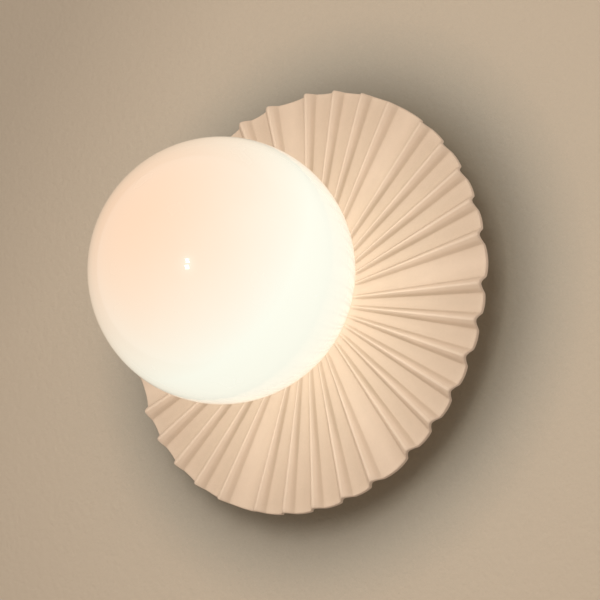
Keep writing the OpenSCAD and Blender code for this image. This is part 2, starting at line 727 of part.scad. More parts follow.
wall_bracket();
earth_screw();
earth_clamp();
terminal_block();
terminal_barrels();
terminal_screws();
terminal_fixing_screw();
canopy();
canopy_screws();
shell_spacer();
fluted_shell();
threaded_tube();
rear_nut();
lock_washer();
earth_ring_tag();
front_nut();
tube_bush();
glass_holder();
lampholder_stirrup();
lampholder_body();
lampholder_contacts();
lampholder_screws();
live_wire();
neutral_wire();
earth_wire();
wire_sleeve();
glass_seal();
glass_globe();
bulb_base();
bulb_pins();
bulb_cover();
bulb_board();
bulb_leds();
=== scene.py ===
import json
import math

import bmesh
import bpy
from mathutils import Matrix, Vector

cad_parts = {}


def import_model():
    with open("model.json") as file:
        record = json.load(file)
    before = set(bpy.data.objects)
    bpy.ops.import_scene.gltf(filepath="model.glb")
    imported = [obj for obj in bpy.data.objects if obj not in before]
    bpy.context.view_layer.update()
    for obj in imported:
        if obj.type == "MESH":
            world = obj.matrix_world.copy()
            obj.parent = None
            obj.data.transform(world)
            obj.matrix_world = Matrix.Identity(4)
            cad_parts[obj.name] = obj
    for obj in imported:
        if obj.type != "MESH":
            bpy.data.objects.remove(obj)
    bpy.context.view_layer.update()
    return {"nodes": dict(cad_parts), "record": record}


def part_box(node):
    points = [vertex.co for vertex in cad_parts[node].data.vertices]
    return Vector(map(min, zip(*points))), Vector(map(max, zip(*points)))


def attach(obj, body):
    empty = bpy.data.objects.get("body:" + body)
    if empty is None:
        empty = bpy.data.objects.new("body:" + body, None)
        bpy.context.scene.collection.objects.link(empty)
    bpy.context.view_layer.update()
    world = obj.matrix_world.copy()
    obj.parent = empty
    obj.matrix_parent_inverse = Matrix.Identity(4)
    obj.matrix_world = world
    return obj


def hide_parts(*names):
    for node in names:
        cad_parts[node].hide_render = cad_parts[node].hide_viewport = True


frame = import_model()
nodes = frame["nodes"]

# Sizes are in metres, as in the frame. Pieces are drawn with their depth from the wall along z and
# y up, and faced() turns them so that depth runs out of the wall.
MM = 0.001
FULL_TURN = 2 * math.pi
QUARTER_TURN = math.pi / 2
SAME_PLACE = 1e-6


def low_and_high(node):
    """The nearest and furthest depth from the wall of a CAD node."""
    low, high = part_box(node)
    return -high.y, -low.y


# Hands: picking, turning, cutting


def alone(obj):
    """Leaves obj as the only selected object."""
    bpy.ops.object.select_all(action="DESELECT")
    obj.select_set(True)
    bpy.context.view_layer.objects.active = obj
    return obj


def added(name):
    """The primitive that was just added, named, in edit mode."""
    obj = alone(bpy.context.object)
    obj.name = obj.data.name = name
    bpy.ops.object.mode_set(mode="EDIT")
    return obj


def pick(obj, test, kind="VERT"):
    """Selects the vertices or edges that pass the test, and nothing else."""
    bpy.ops.mesh.select_mode(type=kind)
    bpy.ops.mesh.select_all(action="DESELECT")
    shape = bmesh.from_edit_mesh(obj.data)
    parts = {"VERT": shape.verts, "EDGE": shape.edges}[kind]
    parts.ensure_lookup_table()
    for part in parts:
        if test(part):
            part.select_set(True)
    shape.select_flush_mode()
    bmesh.update_edit_mesh(obj.data)


def pick_all():
    bpy.ops.mesh.select_all(action="SELECT")


def move(x=0.0, y=0.0, z=0.0):
    bpy.ops.transform.translate(value=(x, y, z))


def pull(x=0.0, y=0.0, z=0.0):
    bpy.ops.mesh.extrude_region_move(TRANSFORM_OT_translate={"value": (x, y, z)})


def stretch(x=1.0, y=1.0, z=1.0, about=(0, 0, 0)):
    bpy.ops.transform.resize(value=(x, y, z), center_override=about)


def swing(angle):
    """Turns the selection anticlockwise about z. Without a window the operator turns clockwise."""
    bpy.ops.transform.rotate(value=-angle, orient_axis="Z", center_override=(0, 0, 0))


def closed_up():
    """Merges what meets and points every face outwards."""
    bpy.ops.mesh.select_mode(type="VERT")
    pick_all()
    bpy.ops.mesh.remove_doubles(threshold=SAME_PLACE)
    bpy.ops.mesh.normals_make_consistent(inside=False)


def done(obj, smooth_to=35):
    """Back to object mode, smooth over every edge below the angle."""
    bpy.ops.object.mode_set(mode="OBJECT")
    alone(obj)
    bpy.ops.object.shade_smooth_by_angle(angle=math.radians(smooth_to))
    return obj


def placed(obj):
    """Leaves the object at the origin, with its place in its mesh."""
    alone(obj)
    bpy.ops.object.transform_apply(location=True, rotation=True, scale=True)
    return obj


def faced(obj):
    """Turns a piece drawn with its depth along z to face out of the wall."""
    obj.rotation_euler = (QUARTER_TURN, 0, 0)
    return placed(obj)


def spun(obj, angle):
    """Turns a piece about the axis it was drawn on."""
    obj.rotation_euler = (0, 0, angle)
    return placed(obj)


def twin(obj, name):
    """A copy with its own mesh."""
    alone(obj)
    bpy.ops.object.duplicate(linked=False)
    copy = bpy.context.object
    copy.name = copy.data.name = name
    return copy


def joined(name, pieces):
    """Several objects made one."""
    alone(pieces[0])
    for piece in pieces:
        piece.select_set(True)
    bpy.ops.object.join()
    pieces[0].name = pieces[0].data.name = name
    return pieces[0]


def with_modifier(obj, kind, **settings):
    """Adds a modifier, sets it and applies it."""
    alone(obj)
    bpy.ops.object.modifier_add(type=kind)
    modifier = obj.modifiers[-1]
    for key, value in settings.items():
        setattr(modifier, key, value)
    bpy.ops.object.modifier_apply(modifier=modifier.name)
    return obj


HARD_EDGE = math.radians(32)


def with_soft_edges(obj, width, **settings):
    """Rounds every hard edge."""
    return with_modifier(obj, "BEVEL", width=width, segments=2, limit_method="ANGLE",
                         angle_limit=HARD_EDGE, **settings)


def turned(name, profile, steps):
    """A piece turned on a lathe, from (radius, depth, rounding) corners of its section."""
    bpy.ops.mesh.primitive_plane_add(size=MM)
    obj = added(name)
    pick_all()
    bpy.ops.mesh.merge(type="CENTER")
    move(profile[0][0], 0, profile[0][1])
    for here, there in zip(profile, profile[1:]):
        pull(there[0] - here[0], 0, there[1] - here[1])
    pick(obj, lambda v: len(v.link_edges) == 1)
    bpy.ops.mesh.edge_face_add()
    for rounding in sorted({corner[2] for corner in profile if corner[2] > 0}):
        corners = [Vector((c[0], 0, c[1])) for c in profile if c[2] == rounding]
        pick(obj, lambda v: any((v.co - c).length < SAME_PLACE for c in corners))
        bpy.ops.mesh.bevel(offset=rounding, segments=3, affect="VERTICES")
    pick_all()
    bpy.ops.mesh.spin(steps=steps, angle=FULL_TURN, center=(0, 0, 0), axis=(0, 0, 1))
    closed_up()
    return done(obj)


THREAD_SINK = 0.3 * MM
THREAD_STEPS = 48


def thread(name, wall_r, crest_r, foot_w, crest_w, pitch, turns, start):
    """The ridge of a screw thread, its foot sunk into its wall."""
    foot_r = wall_r - THREAD_SINK * (1 if crest_r > wall_r else -1)
    bpy.ops.mesh.primitive_plane_add(size=1, rotation=(QUARTER_TURN, 0, 0))
    obj = added(name)
    bpy.ops.object.mode_set(mode="OBJECT")
    placed(obj)
    bpy.ops.object.mode_set(mode="EDIT")
    pick_all()
    stretch(crest_r - foot_r, 1, foot_w)
    move((crest_r + foot_r) / 2)
    pick(obj, lambda v: abs(v.co.x - crest_r) < SAME_PLACE)
    stretch(1, 1, crest_w / foot_w)
    pick_all()
    bpy.ops.mesh.delete(type="ONLY_FACE")
    bpy.ops.object.mode_set(mode="OBJECT")
    steps = round(THREAD_STEPS * turns)
    with_modifier(obj, "SCREW", axis="Z", angle=FULL_TURN * turns, screw_offset=pitch * turns,
                  steps=steps, render_steps=steps)
    bpy.ops.object.mode_set(mode="EDIT")
    pick_all()
    bpy.ops.mesh.fill_holes(sides=4)
    closed_up()
    move(0, 0, start)
    return done(obj)


# Finishes

# Most of a noise lies between these
NOISE_LOW, NOISE_HIGH = 0.3, 0.7


class Number:
    """A number in a finish. The usual signs between such numbers add Math nodes."""

    def __init__(self, finish, socket):
        self.finish, self.socket = finish, socket

    def _sum(self, operation, first, second=None):
        values = {0: first} if second is None else {0: first, 1: second}
        return self.finish.number("Math", {"operation": operation}, values)

    def __add__(self, other):
        return self._sum("ADD", self, other)

    __radd__ = __add__

    def __mul__(self, other):
        return self._sum("MULTIPLY", self, other)

    __rmul__ = __mul__

    def __sub__(self, other):
        return self._sum("SUBTRACT", self, other)

    def __rsub__(self, other):
        return self._sum("SUBTRACT", other, self)

    def __gt__(self, other):
        return self._sum("GREATER_THAN", self, other)

    def sine(self):
        return self._sum("SINE", self)


class Finish:
    """A finish: one shader, with what varies taken from the place on the piece."""

    def __init__(self, name, colour, roughness, **constants):
        self.material = bpy.data.materials.new(name)
        self.material.use_nodes = True
        self.tree = self.material.node_tree
        self.tree.nodes.clear()
        self.shader = self.node("BsdfPrincipled", {},
                                {"Base Color": (*colour, 1), "Roughness": roughness})
        for key, value in constants.items():
            self.shader.inputs[key.replace("_", " ")].default_value = value
        self.output = self.node("OutputMaterial", {}, {})
        self.tree.links.new(self.shader.outputs[0], self.output.inputs["Surface"])
        self.place = self.node("TexCoord", {}, {}).outputs["Object"]

    def node(self, kind, settings, values):
        """A shader node: first its settings, then a value or a link for each socket named."""
        made = self.tree.nodes.new("ShaderNode" + kind)
        for key, value in settings.items():
            setattr(made, key, value)
        for key, value in values.items():
            value = value.socket if isinstance(value, Number) else value
            if isinstance(value, bpy.types.NodeSocket):
                self.tree.links.new(value, made.inputs[key])
            else:
                made.inputs[key].default_value = value
        return made

    def number(self, kind, settings, values, output=0):
        return Number(self, self.node(kind, settings, values).outputs[output])

    def along(self):
        """The three numbers of the place."""
        parts = self.node("SeparateXYZ", {}, {"Vector": self.place})
        return [Number(self, parts.outputs[i]) for i in range(3)]

    def noise(self, size, detail=3.0, rough=0.5, pulled=(1, 1, 1)):
        """Cloudy grain from 0 to 1, its features about size across and drawn out by pulled."""
        scale = tuple(1 / (size * p) for p in pulled)
        where = self.node("Mapping", {}, {"Vector": self.place, "Scale": scale})
        return self.number("TexNoise", {}, {"Vector": where.outputs[0], "Scale": 1.0,
                                            "Detail": detail, "Roughness": rough})

    def cells(self, size):
        """Distance from the middle of the nearest cell, for specks."""
        return self.number("TexVoronoi", {}, {"Vector": self.place, "Scale": 1 / size})

    def openness(self, distance):
        """How open a place is: 1 in the open, less in a hollow narrower than the distance."""
        return self.number("AmbientOcclusion", {"samples": 8}, {"Distance": distance}, "AO")

    def between(self, value, low, high, to_low=0.0, to_high=1.0):
        """value, stretched so that low to high becomes to_low to to_high, and held there."""
        return self.number("MapRange", {"clamp": True},
                           {"Value": value, "From Min": low, "From Max": high,
                            "To Min": to_low, "To Max": to_high})

    def swayed(self, noise, low, high):
        """A number that sways from low to high with a noise."""
        return self.between(noise, NOISE_LOW, NOISE_HIGH, low, high)

    def blend(self, factor, first, second):
        """Colour first at factor 0, second at 1."""
        values = {0: factor}
        for key, colour in ((6, first), (7, second)):
            values[key] = colour if isinstance(colour, bpy.types.NodeSocket) else (*colour, 1)
        return self.node("Mix", {"data_type": "RGBA"}, values).outputs[2]

    def feed(self, **links):
        for key, value in links.items():
            value = value.socket if isinstance(value, Number) else value
            self.tree.links.new(value, self.shader.inputs[key.replace("_", " ")])

    def relief(self, height, depth):
        """Fine relief: height 0 to 1 stands for depth."""
        bump = self.node("Bump", {}, {"Height": height, "Distance": depth, "Strength": 1.0})
        self.tree.links.new(bump.outputs[0], self.shader.inputs["Normal"])
        return self

    def on(self, obj):
        """Puts the finish on every part of the object."""
        obj.data.materials.clear()
        obj.data.materials.append(self.material)
        return obj


def shade(colour, factor):
    return tuple(min(1.0, c * factor) for c in colour)


def srgb(*shown):
    """A colour as it shows, 0 to 255, in the numbers that a shader takes."""
    return tuple(((c / 255 + 0.055) / 1.055) ** 2.4 for c in shown)


def plated_steel():
    colour = (0.62, 0.62, 0.60)
    f = Finish("plated steel", colour, 0.32, Metallic=1.0)
    bloom, scratches = f.noise(9 * MM, 4), f.noise(0.25 * MM, 2, pulled=(12, 12, 1))
    tone = f.blend(f.between(bloom, 0.35, 0.7), shade(colour, 0.86), shade(colour, 1.08))
    f.feed(Base_Color=tone, Roughness=f.between(bloom + 0.4 * scratches, 0.4, 1.1, 0.22, 0.46))
    return f.relief(scratches, 0.012 * MM)


def brass():
    colour = (0.75, 0.52, 0.22)
    f = Finish("satin brass", colour, 0.3, Metallic=1.0)
    stain, grain = f.noise(6 * MM, 5, 0.6), f.noise(0.2 * MM, 2, pulled=(1, 8, 1))
    f.feed(Base_Color=f.blend(f.between(stain, 0.4, 0.75), colour, (0.50, 0.31, 0.13)),
           Roughness=f.between(stain + 0.5 * grain, 0.4, 1.2, 0.2, 0.48))
    return f.relief(grain, 0.01 * MM)


def tinned_copper():
    colour = (0.70, 0.68, 0.64)
    f = Finish("tinned copper", colour, 0.35, Metallic=1.0)
    cloud = f.noise(2.5 * MM, 4)
    tone = f.blend(f.between(cloud, 0.35, 0.7), shade(colour, 0.8), shade(colour, 1.1))
    f.feed(Base_Color=tone, Roughness=f.swayed(cloud, 0.24, 0.5))
    return f.relief(cloud, 0.02 * MM)


def moulded(name, colour, roughness):
    """Moulded plastic: a fine spark-eroded grain and faint flow marks."""
    f = Finish(name, colour, roughness)
    flow, grain = f.noise(14 * MM, 2), f.noise(0.22 * MM, 2)
    f.feed(Base_Color=f.blend(flow, shade(colour, 0.93), shade(colour, 1.03)),
           Roughness=f.swayed(grain, roughness - 0.07, roughness + 0.09))
    return f.relief(grain, 0.012 * MM)


def powder_coat():
    colour = srgb(232, 219, 200)
    f = Finish("cream powder coat", colour, 0.5)
    peel, cloud = f.noise(0.9 * MM, 2, 0.4), f.noise(30 * MM, 3)
    f.feed(Base_Color=f.blend(cloud, shade(colour, 0.95), shade(colour, 1.02)),
           Roughness=f.swayed(cloud, 0.44, 0.56))
    return f.relief(peel, 0.03 * MM)


def pressed_fibre():
    f = Finish("pressed fibre", (0.05, 0.045, 0.04), 0.8)
    fleck, cloud = f.noise(0.5 * MM, 4, 0.7, pulled=(3, 1, 1)), f.noise(5 * MM, 3)
    pale = f.between(fleck + 0.4 * cloud, 0.55, 0.95)
    f.feed(Base_Color=f.blend(pale, (0.03, 0.028, 0.025), (0.10, 0.09, 0.075)))
    return f.relief(fleck, 0.04 * MM)


SHELL_COLOUR = (0.675, 0.503, 0.375)
FLANK_PAINTED_SHADE = (0.43, 0.313, 0.215)
MIDDLE_PAINTED_SHADE = (0.52, 0.378, 0.268)


def shell_coat():
    """Matte coat with painted shade: darker in the hollows of the flutes, and darker and more even
    in the middle, against the globe's glow there.
    """
    f = Finish("matte shell coat with painted shade", SHELL_COLOUR, 0.62)
    grain, cloud, wide = f.noise(0.45 * MM, 3, 0.6), f.noise(7 * MM, 4), f.noise(60 * MM, 2)
    tone = f.swayed(0.6 * cloud + 0.4 * wide, 0.0, 1.0)
    tone = f.blend(tone, shade(SHELL_COLOUR, 0.97), shade(SHELL_COLOUR, 1.02))
    # Painted shade: where ambient occlusion finds the flanks and feet of the flutes hollow, the
    # coat darkens towards the flank shade colour
    tone = f.blend(f.between(f.openness(10 * MM), 0.72, 0.97), FLANK_PAINTED_SHADE, tone)
    radius = f.number("VectorMath", {"operation": "LENGTH"}, {0: f.place}, "Value")
    # Painted shade: towards the middle the coat turns to a darker colour, which holds back the
    # globe's glow there and evens out the painted shade of the hollows
    tone = f.blend(f.between(radius, 45 * MM, 90 * MM, 0.25, 1.0), MIDDLE_PAINTED_SHADE, tone)
    f.feed(Base_Color=tone, Roughness=f.swayed(grain, 0.54, 0.72))
    return f.relief(grain + 0.35 * cloud, 0.05 * MM)


def ceramic():
    colour = (0.80, 0.77, 0.70)
    f = Finish("steatite", colour, 0.42, Coat_Weight=0.25, Coat_Roughness=0.3)
    speck, cloud = f.cells(0.7 * MM), f.noise(6 * MM, 3)
    tone = f.blend(cloud, shade(colour, 0.93), colour)
    f.feed(Base_Color=f.blend(f.between(speck, 0.03, 0.12, 0.5, 0.0), tone, (0.45, 0.40, 0.33)),
           Roughness=f.swayed(cloud, 0.34, 0.5))
    return f.relief(f.noise(0.35 * MM, 3), 0.03 * MM)


def insulation(name, colour):
    """Extruded wire cover, with faint draw lines and scuffs."""
    f = Finish(name, colour, 0.4, Coat_Weight=0.15, Coat_Roughness=0.25)
    scuff, grain = f.noise(2.2 * MM, 4), f.noise(0.15 * MM, 2)
    f.feed(Base_Color=f.blend(f.between(scuff, 0.4, 0.75), colour, shade(colour, 0.78)),
           Roughness=f.swayed(scuff, 0.32, 0.5))
    return f.relief(grain, 0.01 * MM)


def earth_insulation():
    """Green cover with its yellow stripe."""
    colour = (0.05, 0.30, 0.06)
    f = Finish("green and yellow cover", colour, 0.4, Coat_Weight=0.15, Coat_Roughness=0.25)
    x, _, z = f.along()
    band = (x * (FULL_TURN / (11 * MM)) + z * (FULL_TURN / (5 * MM))).sine()
    f.feed(Base_Color=f.blend(f.between(band, 0.2, 0.35), (0.03, 0.26, 0.05), (0.80, 0.66, 0.05)),
           Roughness=f.swayed(f.noise(2 * MM, 4), 0.32, 0.5))
    return f.relief(f.noise(0.15 * MM, 2), 0.01 * MM)


def braided_sleeve():
    """Glass-fibre braid: strands that cross at a slant round the axis."""
    f = Finish("glass fibre braid", (0.82, 0.80, 0.74), 0.7)
    x, y, z = f.along()
    strands_round = 12
    round_axis = f.number("Math", {"operation": "ARCTAN2"}, {0: z, 1: x}) * strands_round
    climb = y * (FULL_TURN / (1.1 * MM))
    weave = f.between((round_axis + climb).sine() * (round_axis - climb).sine(), -1, 1)
    f.feed(Base_Color=f.blend(weave, (0.60, 0.57, 0.50), (0.90, 0.88, 0.83)))
    return f.relief(weave, 0.12 * MM)


def silicone():
    colour = (0.82, 0.80, 0.76)
    f = Finish("silicone", colour, 0.5, Subsurface_Weight=0.15)
    cloud = f.noise(4 * MM, 3)
    f.feed(Base_Color=f.blend(cloud, shade(colour, 0.93), shade(colour, 1.04)),
           Roughness=f.swayed(cloud, 0.42, 0.6))
    return f.relief(f.noise(0.3 * MM, 2), 0.01 * MM)


def frosted_cover():
    f = Finish("frosted cover", (0.85, 0.83, 0.78), 0.5, Emission_Strength=0.8)
    cloud = f.noise(8 * MM, 2)
    f.feed(Emission_Color=f.blend(cloud, srgb(255, 236, 200), srgb(255, 244, 222)),
           Roughness=f.swayed(cloud, 0.42, 0.6))
    return f.relief(f.noise(0.12 * MM, 2), 0.01 * MM)


def solder_mask():
    """White board with its copper tracks showing faintly through."""
    colour = (0.80, 0.79, 0.73)
    f = Finish("white board", colour, 0.4)
    x, y, _ = f.along()
    track = (x * (FULL_TURN / (2.2 * MM))).sine() * (y * (FULL_TURN / (5.6 * MM))).sine()
    edge = f.between(track, 0.05, 0.15)
    f.feed(Base_Color=f.blend(edge, colour, (0.68, 0.64, 0.52)),
           Roughness=f.swayed(f.noise(3 * MM, 3), 0.3, 0.5))
    return f.relief(edge, 0.03 * MM)


def phosphor():
    f = Finish("phosphor", (0.90, 0.72, 0.20), 0.5, Emission_Strength=0.9)
    cloud = f.noise(0.8 * MM, 3)
    f.feed(Emission_Color=f.blend(cloud, srgb(255, 226, 140), srgb(255, 240, 190)),
           Base_Color=f.blend(cloud, (0.86, 0.66, 0.16), (0.93, 0.78, 0.28)))
    return f.relief(cloud, 0.03 * MM)


# The view, from the photo's perspective

VIEW_TURN = math.radians(36.677)
VIEW_PITCH = math.radians(15.927)
CAMERA_AT = Vector((1.0615, -1.4542, -0.5075))
SENSOR_WIDTH = 36
FRAME_PIXELS = 600
FOCAL_PIXELS = 3200

ahead = Vector((-math.sin(VIEW_TURN) * math.cos(VIEW_PITCH),
                math.cos(VIEW_TURN) * math.cos(VIEW_PITCH), math.sin(VIEW_PITCH)))
right = Vector((math.cos(VIEW_TURN), math.sin(VIEW_TURN), 0))
up = right.cross(ahead)

GLOBE_BACK, GLOBE_FRONT = low_and_high("glass_globe")
GLOBE_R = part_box("glass_globe")[1].x
GLOBE_CENTRE = Vector((0, GLOBE_R - GLOBE_FRONT, 0))
OPAL_LIGHT = (0.86, 0.88, 0.77)
OPAL_ROSY_PAINTED_SHADE = (0.84, 0.56, 0.37)


def opal_glass():
    """Opal glass lit from inside. The glow changes with the direction from the globe's middle:
    painted shade makes it dimmer and rosier on the side turned left, up and towards the camera, and
    paler on the other.
    """
    f = Finish("opal glass", (0.20, 0.19, 0.175), 0.22, Coat_Weight=1.0, Coat_Roughness=0.04,
               Coat_IOR=1.5, Emission_Strength=1.0)
    outward = f.node("VectorMath", {"operation": "SUBTRACT"}, {0: f.place, 1: GLOBE_CENTRE})
    outward = f.node("VectorMath", {"operation": "NORMALIZE"}, {0: outward.outputs[0]})
    # The side that the painted shade of the glow falls on: left, up and towards the camera
    painted_shade_direction = (right * -0.65 + up * 0.45 - ahead * 0.61).normalized()
    side = f.number("VectorMath", {"operation": "DOT_PRODUCT"}, {0: outward.outputs[0], 1: painted_shade_direction},
                    "Value")
    cloud = f.noise(40 * MM, 2) * 0.08 - 0.04
    # Painted shade on the glow: it fades from the light colour to the dimmer, rosier one on that
    # side
    f.feed(Emission_Color=f.blend(f.between(side + cloud, 0.15, 1.0), OPAL_LIGHT, OPAL_ROSY_PAINTED_SHADE),
           Roughness=f.swayed(f.noise(25 * MM, 3), 0.18, 0.28))
    return f.relief(f.noise(12 * MM, 1), 0.02 * MM)


FINISHES = {
    "plated_steel": plated_steel,
    "brass": brass,
    "block_plastic": lambda: moulded("block plastic", (0.80, 0.78, 0.72), 0.45),
    "canopy_enamel": powder_coat,
    "fibre": pressed_fibre,
    "shell_coat": shell_coat,
    "tinned_copper": tinned_copper,
    "socket_ceramic": ceramic,
    "brown_insulation": lambda: insulation("brown cover", (0.12, 0.045, 0.02)),
    "blue_insulation": lambda: insulation("blue cover", (0.02, 0.10, 0.42)),
    "green_insulation": earth_insulation,
    "glass_sleeve": braided_sleeve,
    "silicone": silicone,
    "opal_glass": opal_glass,
    "bulb_plastic": lambda: moulded("bulb plastic", (0.84, 0.83, 0.79), 0.3),
    "bulb_frost": frosted_cover,
    "board": solder_mask,
    "led_phosphor": phosphor,
}
made_finishes = {}


def finish_for(slot):
    """The finish of a slot, made once."""
    if slot not in made_finishes:
        made_finishes[slot] = FINISHES[slot]()
    return made_finishes[slot]


def stands_for(obj, body, slot, *replaced):
    """Gives a piece its finish and its body, in place of the CAD nodes that it stands for."""
    finish_for(slot).on(obj)
    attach(obj, body)
    if replaced:
        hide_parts(*replaced)
    return obj


# Camera, wall and light


def camera():
    bpy.ops.object.camera_add(location=CAMERA_AT)
    made = bpy.context.object
    made.name = "camera"
    made.rotation_mode = "QUATERNION"
    made.rotation_quaternion = ahead.to_track_quat("-Z", "Y")
    made.data.sensor_width = SENSOR_WIDTH
    made.data.lens = SENSOR_WIDTH * FOCAL_PIXELS / FRAME_PIXELS
    made.data.clip_start, made.data.clip_end = 0.1, 50
    bpy.context.scene.camera = made


SHELL_MIDDLE = Vector((0, -0.03, 0))
SMALL_LAMP = 0.5


def light(name, place, power, colour=(1, 1, 1), size=None):
    """A square lamp that looks at the shell's middle, or a round one where no size is given."""
    bpy.ops.object.light_add(type="AREA" if size else "POINT", location=place)
    lamp = bpy.context.object
    lamp.name = name
    if size:
        lamp.data.shape, lamp.data.size = "SQUARE", size
    lamp.data.energy, lamp.data.color = power, colour
    # A large lamp would show as a patch in the glass
    lamp.visible_glossy = size is not None and size < SMALL_LAMP
    lamp.rotation_mode = "QUATERNION"
    lamp.rotation_quaternion = (SHELL_MIDDLE - Vector(place)).to_track_quat("-Z", "Y")
    return lamp


WALL_COLOUR = (0.566, 0.455, 0.344)
WALL_HALF_SHADE = (0.39, 0.346, 0.28)
WALL_SHADE = (0.26, 0.228, 0.174)
WALL_SIZE = 4
WALL_SET_BACK = 0.4 * MM
WALL_NEAR = 5 * MM
PAINTED_SHADE_REACH = 130 * MM


def wall():
    """A wall that shows only from the front and blocks no light, with shade painted into its
    colour.
    """
    bpy.ops.mesh.primitive_grid_add(x_subdivisions=8, y_subdivisions=8, size=WALL_SIZE,
                                    rotation=(QUARTER_TURN, 0, 0), location=(0, WALL_SET_BACK, 0))
    obj = placed(bpy.context.object)
    obj.name = obj.data.name = "wall"
    f = Finish("wall with painted shade", WALL_COLOUR, 0.9)
    x, _, z = f.along()
    # Painted shade: the wall darkens towards its left and its top left
    drift = 0.05 * f.noise(0.3, 2)
    left = f.between(x + drift, -0.24, -0.06, 0.92, 1.0)
    top_left = f.between(x - z + drift, -0.42, -0.24, 0.86, 1.0)
    # Painted shade: the wall's colour darkens round the lamp in two steps, by how open each place
    # is
    lit = f.openness(PAINTED_SHADE_REACH)
    tone = f.blend(f.between(lit, 0.85, 0.965), WALL_HALF_SHADE, WALL_COLOUR)
    tone = f.blend(f.between(lit, 0.56, 0.85), WALL_SHADE, tone)
    # The painted shade of the left and top left darkens the colour towards black
    f.feed(Base_Color=f.blend(left * top_left, (0, 0, 0), tone))
    f.relief(f.noise(4 * MM, 2), 0.6 * MM)
    # Metal that lies against the wall doesn't mirror it
    path = f.node("LightPath", {}, {})
    by_camera, mirrored, length, through = (
        Number(f, path.outputs[key])
        for key in ("Is Camera Ray", "Is Glossy Ray", "Ray Length", "Is Transmission Ray"))
    seen = by_camera + mirrored * (length > WALL_NEAR) + through
    back = f.number("NewGeometry", {}, {}, "Backfacing")
    clear = f.node("BsdfTransparent", {}, {})
    mixed = f.node("MixShader", {},
                   {0: seen * (1 - back), 1: clear.outputs[0], 2: f.shader.outputs[0]})
    f.tree.links.new(mixed.outputs[0], f.output.inputs["Surface"])
    f.on(obj)


WORLD_COLOUR = (0.93, 0.86, 0.77)
WORLD_POWER = 0.5
BACKDROP_COLOUR = (0.92, 0.90, 0.87)


def world():
    """Even light from a plain room, and a lighter backdrop where the camera sees past the wall."""
    made = bpy.data.worlds.new("plain room")
    bpy.context.scene.world = made
    made.use_nodes = True
    tree = made.node_tree
    lit = tree.nodes["Background"]
    lit.inputs["Color"].default_value = (*WORLD_COLOUR, 1)
    lit.inputs["Strength"].default_value = WORLD_POWER
    seen = tree.nodes.new("ShaderNodeBackground")
    seen.inputs["Color"].default_value = (*BACKDROP_COLOUR, 1)
    seen.inputs["Strength"].default_value = 1.0
    path = tree.nodes.new("ShaderNodeLightPath")
    mixed = tree.nodes.new("ShaderNodeMixShader")
    tree.links.new(path.outputs["Is Camera Ray"], mixed.inputs[0])
    tree.links.new(lit.outputs[0], mixed.inputs[1])
    tree.links.new(seen.outputs[0], mixed.inputs[2])
    tree.links.new(mixed.outputs[0], tree.nodes["World Output"].inputs["Surface"])


GLOW_R = 75.6 * MM
GLOW = 1.4
GLOW_POWER = 4 * math.pi ** 2 * GLOW_R ** 2 * GLOW
SPARK_DISTANCE = 2.0
SPARK_OFFSET = 0.09


def lights(shell, globe):
    # A lit globe casts no shadow of its own on the shell
    lit_through = bpy.data.collections.new("lit through")
    lit_through.objects.link(globe)
    lit_through.collection_objects[0].light_linking.link_state = "EXCLUDE"
    lit_by_globe = bpy.data.collections.new("lit by the globe")
    for obj in (shell, bpy.data.objects["wall"]):
        lit_by_globe.objects.link(obj)
    key = light("key", (0.75, -2.5, 0.4), 28, (1.0, 0.98, 0.96), size=1.2)
    side = light("side", (2.0, -1.2, 1.5), 4.5, (0.76, 0.95, 1.0), size=1.0)
    for lamp in (key, side):
        lamp.light_linking.blocker_collection = lit_through
    glow = light("glow", GLOBE_CENTRE, GLOW_POWER, (0.96, 1.0, 0.98))
    glow.data.shadow_soft_size, glow.data.use_soft_falloff = GLOW_R, False
    glow.visible_camera = False
    glow.light_linking.receiver_collection = lit_by_globe
    light("rear", (0.9, 2.4, 1.4), 26, size=1.8)
    # Two small lamps make the spark in the glass
    spark = right * -0.454 + up * 0.085 - ahead * 0.886
    for k in (-1, 1):
        place = GLOBE_CENTRE + spark * SPARK_DISTANCE + up * (SPARK_OFFSET * k)
        light(f"spark_{k}", place, 0.8, size=0.11)


# The fluted shell

SHELL_R = 124.97 * MM
SHELL_WALL = 2.5 * MM
RIDGE_REACH = 30 * MM
DISH = 6.2 * MM
HUB_R = 31 * MM
HUB_BLEND = 9 * MM
HUB_FRONT = RIDGE_REACH - DISH
NARROW_FLUTE = 5.9 * MM
WIDE_FLUTE = 7 * MM
FLANK = 0.7 * NARROW_FLUTE
RIM_SOFT = 2.5 * MM
RIM_DROP = 0.4 * MM
RIM_ROUNDING = 0.55 * MM
# Degrees round the disc
WIDE_ANGLE = 13.0
NARROW_AFTER_WIDE = (4, 5, 4, 3, 4, 4, 4)
NARROW_ANGLE = (360 - WIDE_ANGLE * len(NARROW_AFTER_WIDE)) / sum(NARROW_AFTER_WIDE)
FIRST_WIDE_AT = -111.3
RIDGE_FOOT = 2.4
CREST_HALF = 0.12
ARCH_START = 1.2
FLANK_STEPS = (0, 0.1, 0.2, 0.3, 0.4, 0.5, 0.65, 0.9, 1.15, 1.4, 1.65, 1.85, 2.0, 2.12, 2.24,
               2.36, 2.6, 3.0, 3.6, 4.2, 5.2)
# Share of the flank's width that each of its two bends takes
FLANK_BEND = 0.16
# Radii in millimetres, from the tube's hole to the rim
SHELL_RINGS = (5.25, 16, 27, 31, 32, 33, 34.2, 35.5, 37, 38.5, 40, 52, 66, 80, 94, 106, 114, 119,
               121, 122.6, 124, 124.97)


def held(share):
    return max(0.0, min(1.0, share))


